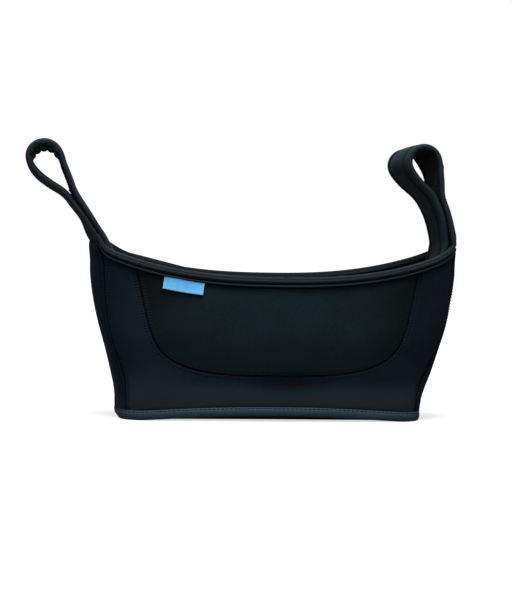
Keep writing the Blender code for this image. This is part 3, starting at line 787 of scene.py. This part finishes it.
# Base: a panel of the knit sewn into the hem, and a stiff board in lining cloth that lies
# on it and keeps the bottom flat.
BOARD, BOARD_SWELL = 0.002, 0.0003


def floor_rings(low, thick, swell):
    middle = hem_path(360)
    outs = np.array([0, 0.3, 0.5, 0.7, 0.82, 0.9, 0.95, 0.98, 0.993, 1])
    edge = middle - outward(middle) * (PANEL + TAPE + 3 * GAP)
    edge[:, 2] = 0
    flat = edge[:, None] * outs[None, :, None]
    lift = hem_lift(flat[..., 0], front_share(flat[..., 1])) + low
    round_off = thick / 2 * (1 - np.sqrt(np.clip(1 - ((outs - 0.96) / 0.04).clip(0) ** 2, 0, 1)))
    puff = swell * (1 - outs ** 6)
    under, over = flat.copy(), flat.copy()
    under[..., 2] = lift + round_off[None]
    over[..., 2] = lift + thick - round_off[None] + puff[None]
    return np.concatenate([under, over[:, ::-1]], 1)


base_cloth = knit("base_knit", SIDE_BLACK, grain=0.00009)
dressed(skin("base_cloth", floor_rings(0, PANEL, 0), flat=(0, 1), loop=True), base_cloth,
        "side_cloth", "base_panel", fill=PANEL_FILL)
lining = knit("lining_cloth", (0.003, 0.0048, 0.0066, 1), rough=0.85)
rings = floor_rings(PANEL + GAP, BOARD, BOARD_SWELL)
dressed(skin("board_in_lining", rings, flat=(0, 1), loop=True), lining, "lining_cloth",
        "base_board", fill=0.9)


# Cup dividers: two walls of lining cloth from front to back, each bound along its top
# and sewn to the panels at its ends.
DIVIDER, DIVIDER_PLACE, DIVIDER_TOP, DIVIDER_TAPE = 0.0024, 0.085, 0.124, 0.007
DIVIDER_SLEEVE, DIVIDER_STITCH = DIVIDER / 2 + GAP + TAPE, 0.0016


def divider_half(z, side):
    return face_point(side * DIVIDER_PLACE, z, 1)[..., 1] - PANEL - 0.0002


def divider_rings(side):
    share = np.linspace(-1, 1, 61)[:, None]
    foot = PANEL + BOARD + 2 * GAP + HEM_ARCH * (1 - share) / 2
    up = np.linspace(0, 1, 61)[None]
    z = foot + (DIVIDER_TOP - DIVIDER_SLEEVE - foot) * up
    y = divider_half(z, side) * share
    bow = 0.0016 * np.sin(pi * up) * np.cos(share * pi / 2) + 0.0004 * np.sin(9 * share + 5 * up)
    seam = 0.0007 * hump(np.abs(share), 1, 0.1)
    middle = side * DIVIDER_PLACE + bow * side
    one, other = (np.stack([middle + way * (DIVIDER / 2 - seam), y, z], -1) for way in (1, -1))
    return np.concatenate([one, other[::-1]]).transpose(1, 0, 2)


divider_rows = []
for name, side in (("left", -1), ("right", 1)):
    dressed(skin(name + "_divider_cloth", divider_rings(side), flat=(1, 2)), lining,
            "lining_cloth", name + "_divider", fill=0.5)
    w, h, dark = tape_ring(DIVIDER_TAPE - DIVIDER_SLEEVE, DIVIDER_TAPE - DIVIDER_SLEEVE,
                           DIVIDER_SLEEVE, DIVIDER_STITCH, 0.0005, bend=12)
    half = divider_half(DIVIDER_TOP, side)
    y = np.linspace(-half, half, 121)[:, None]
    prick = needles(y, RIM_PITCH)
    wide = w - np.sign(w) * 0.00025 * prick * dark
    bow = 0.0006 * np.cos(y / half * pi / 2) * side
    rings = np.stack(np.broadcast_arrays(side * DIVIDER_PLACE + wide + bow, y,
                                         DIVIDER_TOP - DIVIDER_SLEEVE + h), -1)
    # Painted shade in the stitch groove, deepest at the needle holes.
    dressed(skin(name + "_divider_band", rings, shade=dark * (0.45 + 0.55 * prick)),
            rim_tape_cloth, "edge_tape", name + "_divider_tape")
    level = DIVIDER_TOP - DIVIDER_TAPE + DIVIDER_STITCH
    for way in (1, -1):
        row = np.stack(np.broadcast_arrays(
            side * DIVIDER_PLACE + way * (DIVIDER_SLEEVE - 0.0004) + bow, y, level), -1)[:, 0]
        divider_rows.append((row, np.tile((way, 0.0, 0.0), (len(row), 1))))
stitches("divider_stitching", divider_rows, RIM_PITCH, 0.002, 0.00032)


# Straps: a folded strip of the knit, bound along both edges with thick soft piping. Each
# rises from its end panel, turns over in a loop and comes back down into the bag.
STRAP, STRAP_TAIL, TAIL_SLOPE, TAIL_NARROWING = 0.0034, 0.026, 0.22, 0.005
PATCH, LOOP_BLEND, BOW_FADE, EDGE_WIDTH = 0.001, 0.046, 0.03, 0.005
ROOT_REACH, ROOT_DROP, PUCKER_PITCH, PUCKER_LOW = 0.006, 0.0022, 0.0098, 0.256
DOUBLE_TOP, DOUBLE_LINE, DOUBLE_SWELL, PIPE_LIP = 0.2585, 0.259, 0.0007, 0.003
LEFT_PUCKER, RIGHT_PUCKER, STRAP_ROOT = 0.0017, 0.0003, 0.74
STRAND_HALF = STRAP / 2 + max(TAPE, PATCH) + 1.5 * GAP
STRAP_BLACK = (0.0034, 0.0072, 0.0102, 1)
LEFT_SPINE = ((0.0, 0.0), (0.008, 0.012), (0.0175, 0.025), (0.028, 0.0375),
              (0.039, 0.0485), (0.049, 0.06), (0.0555, 0.0705), (0.0565, 0.078))
RIGHT_SPINE = ((0.0, 0.0), (-0.002, 0.012), (-0.0045, 0.025), (-0.0085, 0.037),
               (-0.014, 0.049), (-0.02, 0.061), (-0.0255, 0.072), (-0.0285, 0.084))


def spine(side, route):
    """A smooth curve through the route's points, in the X-Z plane."""
    points = [Vector((side * out, up)) for out, up in route]
    points = [2 * points[0] - points[1]] + points + [2 * points[-1] - points[-2]]
    curve = []
    for a, b, c, d in zip(points, points[1:], points[2:], points[3:]):
        for step in range(20):
            t = step / 20
            curve.append(0.5 * (2 * b + (c - a) * t + (2 * a - 5 * b + 4 * c - d) * t * t
                                + (3 * b - a - 3 * c + d) * t ** 3))
    return curve + [points[-2]]


def strand(curve, side, radius, hand):
    """One strand beside the spine, which opens out towards the loop."""
    run = lengths(np.array(curve))
    made = []
    for index, point in enumerate(curve):
        ahead = curve[min(index + 1, len(curve) - 1)] - curve[max(index - 1, 0)]
        away = Vector((-ahead.y, ahead.x)).normalized() * -side
        share = float(ease(1 - (run[-1] - run[index]) / LOOP_BLEND))
        made.append(point + away * hand * (STRAND_HALF + (radius - STRAND_HALF) * share))
    return made


def strap_line(side, route, radius, drift):
    """The strap's middle line along its near edge, about 1 mm between its points. drift
    says how far the rising and the falling strand wander sideways, by height."""
    curve = spine(side, route)
    out, back = strand(curve, side, radius, 1), strand(curve, side, radius, -1)
    centre = curve[-1]
    up = (centre - curve[-2]).normalized() * radius
    away = out[-1] - centre
    turn = [centre + away * cos(pi * i / 24) + up * sin(pi * i / 24) for i in range(1, 24)]
    tail = [back[0] + Vector((-side * TAIL_SLOPE, -1)).normalized() * STRAP_TAIL]
    seam = end_point(-STRAP_WIDTH / 2, RIM_HIGH, side)
    root = Vector(((seam - outward(seam) * PANEL / 2)[0], RIM_HIGH + GAP))
    line = np.array([root + point - out[0] for point in out + turn + back[::-1] + tail])
    count = 4 * round(lengths(line)[-1] / 0.004)
    line = respaced(line, count)
    after = np.arange(count + 1) > line[:, 1].argmax()
    for strand_points, shifts in ((~after, drift[0]), (after, drift[1])):
        line[:, 0] += strand_points * np.interp(line[:, 1], *zip(*shifts))
    for _ in range(24):
        line[1:-1] = (line[:-2] + 2 * line[1:-1] + line[2:]) / 4
    return respaced(line, count)


def strap_frame(side, route, radius, lean, drift):
    line = strap_line(side, route, radius, drift)
    run = lengths(line)
    top = line[:, 1].max()
    upright = ease(1 - run / ROOT_REACH)[:, None]
    ahead = unit(unit(np.gradient(line, axis=0)) * (1 - upright) + np.array((0, 1)) * upright)
    away = np.stack([-ahead[:, 1], ahead[:, 0]], -1) * -side
    rising = (np.arange(len(line)) < line[:, 1].argmax())[:, None]

    def place(across, w):
        """across is 0 at the near edge and 1 at the far one; w is out from the middle."""
        height = ease((line[:, 1] - RIM_HIGH) / (top - RIM_HIGH))[:, None]
        lean_x = lean[0] + (lean[1] - lean[0]) * height
        lean_x = lean_x - lean[0] * 0.75 * rising * hump(line[:, 1:], 0.25, 0.013)
        fade = ease(1 - run / BOW_FADE)[:, None]
        narrowing = TAIL_NARROWING * ease(2 - (run[-1] - run) / STRAP_TAIL)[:, None]
        w = w * (STRAP_ROOT + (1 - STRAP_ROOT) * ease(run / END_REACH)[:, None])
        y = (STRAP_WIDTH - narrowing) * (across - 0.5)
        edge = STRAP_WIDTH / 2 - 0.0003
        level = np.clip(y, -edge, edge)
        bow = (end_point(level, np.full_like(level, RIM_HIGH), side)[..., 0]
               - end_point(-STRAP_WIDTH / 2, RIM_HIGH, side)[0]) * fade
        x = line[:, :1] + away[:, :1] * w + bow + lean_x * across * (1 - fade)
        z = line[:, 1:] + away[:, 1:] * w + lean[2] * height * across
        z = z - ROOT_DROP * upright
        return np.stack(np.broadcast_arrays(x, y, z), -1)
    return place, run


strap_knit = knit("strap_knit", STRAP_BLACK, rough=0.74, sheen=0.04)
piping_cloth = tape_cloth("piping_cloth", (0.0098, 0.0175, 0.0225, 1))
STRAP_PITCH, STRAP_STITCH, FACE_STITCH, FACE_DIP, PIPE_DIP = 0.0032, 0.0041, 0.0092, 0.0004, 0.00075
PIPE_HALF = STRAP / 2 + GAP + TAPE
strap_rows = []
LEFT_DRIFT = (((0.18, -0.001), (0.192, -0.0015), (0.214, -0.0018), (0.222, 0.0),
               (0.23, 0.0032), (0.238, 0.0044), (0.246, 0.0024), (0.254, -0.0008),
               (0.262, -0.0026), (0.272, -0.003), (0.285, -0.0022)),
              ((0.155, 0.006), (0.168, 0.003), (0.178, -0.0005), (0.186, -0.003),
               (0.192, -0.0032), (0.204, -0.0025), (0.22, -0.0006), (0.228, 0.0024),
               (0.236, 0.0044), (0.246, 0.0036), (0.254, 0.0015), (0.262, -0.002),
               (0.272, -0.0028), (0.285, -0.0022)))
RIGHT_DRIFT = (((0.228, 0.0), (0.242, 0.0014), (0.256, 0.001), (0.266, 0.0)),
               ((0.222, 0.0), (0.23, 0.0016), (0.24, 0.0032), (0.248, 0.0028),
                (0.256, 0.0006), (0.266, 0.0)))
for name, side, route, radius, lean, drift in (
        ("left", -1, LEFT_SPINE, 0.0165, (0.0, 0.0035, -0.006), LEFT_DRIFT),
        ("right", 1, RIGHT_SPINE, 0.016, (-0.008, -0.014, -0.006), RIGHT_DRIFT)):
    place, run = strap_frame(side, route, radius, lean, drift)
    height = place(np.array([[0.5]]), np.zeros((1, 1)))[:, 0, 2]
    rising = np.arange(len(run)) < height.argmax()
    pucker = np.abs(np.sin(pi * run / PUCKER_PITCH + 0.8 * np.sin(run * 97))) ** 0.8
    pucker = (ease((height - PUCKER_LOW) / 0.01) * pucker)[:, None]
    pucker = pucker * (LEFT_PUCKER if side < 0 else RIGHT_PUCKER)
    double = (side > 0) * DOUBLE_SWELL * (rising * ease((DOUBLE_TOP - height) / 0.0012))[:, None]
    # Painted shade along the step where the doubled strap ends.
    step = (side > 0) * 0.8 * (rising * hump(height, DOUBLE_LINE, 0.0008))[:, None]
    prick = needles(run, STRAP_PITCH)[:, None]
    inward = np.array([0.0014, 0.003, 0.0048, 0.0054, 0.0062, 0.0074, FACE_STITCH - 0.0006,
                       FACE_STITCH, FACE_STITCH + 0.0006, 0.0118, 0.016])
    across = np.concatenate([inward, STRAP_WIDTH - inward[::-1]]) / STRAP_WIDTH
    from_edge = np.concatenate([inward, inward[::-1]])
    puff = ease((from_edge - 0.0048) / 0.007)
    row = (np.abs(from_edge - FACE_STITCH) < 0.0001)[None]
    ripple = 0.00018 * np.sin(run * 230 + 1)[:, None] * np.sin(pi * across)
    outer_w = STRAP / 2 + 0.0016 * puff + ripple - FACE_DIP * row + double
    inner_w = -STRAP / 2 - 0.0004 * puff + ripple - pucker
    both = np.concatenate([across, across[::-1]])[None]
    rings = place(both, np.concatenate([outer_w, inner_w[:, ::-1]], 1))
    # Painted shade at the face stitch row's needle holes and along the step, and all over the inner
    # face, inside the loop and between the strands.
    shade = np.concatenate([np.maximum(row * (0.3 + 0.5 * prick), step),
                            np.full(inner_w.shape, 0.75)], 1)
    dressed(skin(name + "_strap_cloth", rings, shade=shade), strap_knit, "strap_cloth",
            "strap_" + name, fill=0.6)

    turn = np.linspace(-pi / 2, pi / 2, 13)
    flank = np.linspace(PIPE_LIP, EDGE_WIDTH, 7)[1:]
    depth_in = np.concatenate([flank[::-1], PIPE_LIP - PIPE_LIP * np.cos(turn), flank,
                               [0.0044, 0.0022, 0.0012, 0.0022, 0.0044]])
    wide = np.concatenate([np.full(6, -PIPE_HALF), PIPE_HALF * np.sin(turn), np.full(6, PIPE_HALF),
                           [STRAP / 2 + 0.0004, STRAP / 2 + 0.0003, 0, -STRAP / 2 - 0.0003,
                            -STRAP / 2 - 0.0004]])
    outside = np.abs(wide) > PIPE_HALF - 1e-5
    lip, dark = hump(depth_in, EDGE_WIDTH, 0.0004), hump(depth_in, STRAP_STITCH, 0.0005) * outside
    wide = wide - np.sign(wide) * (PIPE_DIP * dark + 0.0004 * lip * outside)
    wide = np.where(wide < -0.0015, wide * 1.09, wide)
    # Painted shade on the piping's inner side, where the strands close together.
    painted_gap_shade = np.clip((-wide - 0.0012) / 0.0012, 0, 1) * 0.85
    for edge, flip in (("near", False), ("far", True)):
        share = depth_in / STRAP_WIDTH
        shapes = wide - np.sign(wide) * 0.00022 * prick * dark
        shapes = shapes - pucker * (wide < -0.0015) + double * (wide > 0.001)
        rings = place(1 - share if flip else share, shapes)
        # Painted shade in the stitch groove, deepest at the needle holes.
        shade = np.maximum(dark * (0.3 + 0.7 * prick), painted_gap_shade)
        shade = np.maximum(shade, step * (wide > 0))
        dressed(skin(f"{name}_{edge}_piping", rings, shade=shade),
                piping_cloth, "edge_tape", f"strap_{name}_{edge}_tape")
        share, face_share = (np.array([[1 - inset / STRAP_WIDTH if flip else inset / STRAP_WIDTH]])
                             for inset in (STRAP_STITCH, FACE_STITCH))
        for at, low, high in ((share, PIPE_HALF - PIPE_DIP, PIPE_HALF),
                              (share, PIPE_DIP - PIPE_HALF, -PIPE_HALF),
                              (face_share, STRAP / 2 + 0.0009 + double, STRAP + double)):
            row = place(at, low + np.zeros((1, 1)))[:, 0]
            strap_rows.append((row, place(at, high + np.zeros((1, 1)))[:, 0] - row))
stitches("strap_stitching", strap_rows, STRAP_PITCH, 0.0018, 0.00042)


# Hook and loop patches: sewn between the two strands of each strap to hold it shut, one
# of soft brushed loops and one of stiff hooks.
def pile(name, scale, depth):
    finish = Finish(name)
    place = finish.place()
    tufts = finish.node("ShaderNodeTexVoronoi", None, {"Vector": place, "Scale": scale})
    fuzz = finish.noise(place, 900.0, 4.0)
    tone = finish.mix(tufts * 0.7 + fuzz * 0.3, (0.005, 0.0056, 0.0066, 1),
                      (0.0018, 0.002, 0.0024, 1))
    return finish.set(Base_Color=tone, Roughness=0.75 + fuzz * 0.2, Specular_IOR_Level=0.08,
                      Normal=finish.bump(fuzz - tufts, depth), Sheen_Weight=0.06)


for kind, scale, depth in (("loop", 700.0, 0.00035), ("hook", 480.0, 0.0005)):
    finish = pile(kind + "_pile", scale, depth)
    for name in ("left", "right"):
        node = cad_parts[f"{kind}_patch_{name}"]
        node.data.materials.clear()
        node.data.materials.append(finish)


# Side label: a folded tag of blue woven satin. Its upper edge is caught under the rim tape
# left of the middle, and its lower edge stands a little off the insert.
LABEL_LENGTH, LABEL_HEIGHT, LABEL_MIDDLE, LABEL_TILT = 0.0404, 0.0136, -0.0909, radians(-8.5)
LABEL_BLUE, LABEL_PALE, FOLD_HIGHLIGHT_BLUE = (0.05, 0.3, 0.57, 1), (0.082, 0.39, 0.68, 1), (0.25, 0.56, 0.8, 1)


def label_rings():
    share = np.concatenate([np.linspace(0, 0.06, 7), np.linspace(0.1, 0.9, 41),
                            np.linspace(0.94, 1, 7)])[:, None]
    down = np.linspace(0, 1, 33)[None]
    x = LABEL_MIDDLE + LABEL_LENGTH * (share - 0.5) * cos(LABEL_TILT)
    top = rim_height(x) - RIM_TAPE_HEIGHT + 0.0016
    z = top - LABEL_HEIGHT * down
    x = x + down * LABEL_HEIGHT * sin(LABEL_TILT)
    edge = np.minimum(np.minimum(share, 1 - share) * LABEL_LENGTH, (1 - down) * LABEL_HEIGHT)
    half = 0.00045 * np.sqrt(np.clip(1 - (1 - edge / 0.0009).clip(0) ** 2, 0.02, 1))
    lift = 0.0005 + 0.002 * down ** 1.3 + 0.0003 * np.sin(7 * share + 1) * down
    base = face_point(x + 0 * down, z, -1)
    normal = outward(base)
    front = base + normal * (lift + half)[..., None]
    back = base + normal * (lift - half)[..., None]
    # Painted highlight along the label's rounded edges.
    fold = hump(edge, 0, 0.0007)
    return np.concatenate([front, back[:, ::-1]], 1), np.concatenate([fold, fold[:, ::-1]], 1)


finish = Finish("label_satin")
warp, weft = finish.wave("X", 900.0, 0.6), finish.wave("Y", 1300.0, 0.6)
cloud = finish.noise(finish.chart(), 160.0)
tone = finish.mix(warp * 0.5 + cloud * 0.5, LABEL_BLUE, LABEL_PALE)
# Painted highlight: the label is paler along its rounded edges.
fold = finish.node("ShaderNodeAttribute", {"attribute_name": "shade"}, output=2)
tone = finish.mix(fold * 0.6, tone, FOLD_HIGHLIGHT_BLUE)
finish.set(Base_Color=tone, Roughness=0.52 + weft * 0.12, Specular_IOR_Level=0.4,
           Normal=finish.bump(warp + weft, 0.00004), Sheen_Weight=0.15)
rings, fold = label_rings()
dressed(skin("side_tag", rings, flat=(0, 2), shade=fold), finish.material, "label_cloth", "label")


# Floor, light and camera: a pale sheet under the organizer, soft boxes overhead, to both
# sides of the front and behind, and a long lens a little left of the front and above the rim.
PICTURE_HEIGHT, FOCAL_LENGTH, CAMERA_AWAY = 594, 2200, 2.2
bm = bmesh.new()
bmesh.ops.create_grid(bm, x_segments=1, y_segments=1, size=6.0)
mesh = bpy.data.meshes.new("floor")
bm.to_mesh(mesh)
bm.free()
floor = placed("floor", mesh)
finish = Finish("pale_floor")
seen = finish.node("ShaderNodeLightPath")
shrunk = finish.node("ShaderNodeVectorMath", {"operation": "SCALE"}, {0: finish.place(), "Scale": 1.1})
far = finish.node("ShaderNodeTexGradient", {"gradient_type": "SPHERICAL"}, {"Vector": shrunk})
near_white, white, bounce = (0.62, 0.62, 0.62, 1), (1, 1, 1, 1), (0.12, 0.12, 0.12, 1)
finish.set(Base_Color=finish.mix(seen, bounce, (0.3, 0.3, 0.3, 1)), Roughness=0.9,
           Specular_IOR_Level=0.0, Emission_Color=finish.mix(far ** 0.7, white, near_white),
           Emission_Strength=seen)
floor.data.materials.append(finish.material)

world = bpy.data.worlds.new("studio")
world.use_nodes = True
bpy.context.scene.world = world
tree = world.node_tree
room = tree.nodes["Background"]
room.inputs["Color"].default_value = (0.92, 0.96, 1.0, 1)
room.inputs["Strength"].default_value = 0.37
backdrop, path, blend = (tree.nodes.new("ShaderNode" + kind)
                         for kind in ("Background", "LightPath", "MixShader"))
backdrop.inputs["Color"].default_value = (1, 1, 1, 1)
for index, start in enumerate((path, room, backdrop)):
    tree.links.new(start.outputs[0], blend.inputs[index])
tree.links.new(blend.outputs[0], tree.nodes["World Output"].inputs["Surface"])

for name, place, aim, size, power in (
        ("overhead", (-0.05, -0.28, 1.6), (0, 0, 0.08), 0.9, 52.0),
        ("front_left", (-1.3, -1.8, 1.2), (0, 0, 0.1), 1.2, 13.0),
        ("front_right", (1.6, -1.5, 1.0), (0, 0, 0.1), 1.2, 8.0),
        ("behind", (0.4, 1.9, 1.2), (0, 0, 0.1), 1.2, 10.0)):
    lamp = bpy.data.lights.new(name, "AREA")
    lamp.shape, lamp.size, lamp.energy = "SQUARE", size, power
    made = placed(name, lamp)
    made.location = place
    made.rotation_euler = (Vector(aim) - Vector(place)).to_track_quat("-Z", "Y").to_euler()

azimuth, elevation, roll = radians(-8), radians(3), radians(1.2)
aim = Vector((-0.0198, -0.048, 0.12475))
lens = bpy.data.cameras.new("camera")
lens.lens = FOCAL_LENGTH / PICTURE_HEIGHT * lens.sensor_width
camera = placed("camera", lens)
turn = Euler((pi / 2 - elevation, 0, azimuth)).to_matrix() @ Matrix.Rotation(roll, 3, "Z")
camera.matrix_world = Matrix.Translation(aim + turn.col[2] * CAMERA_AWAY) @ turn.to_4x4()
bpy.context.scene.camera = camera
bpy.context.scene.view_settings.view_transform = "Standard"
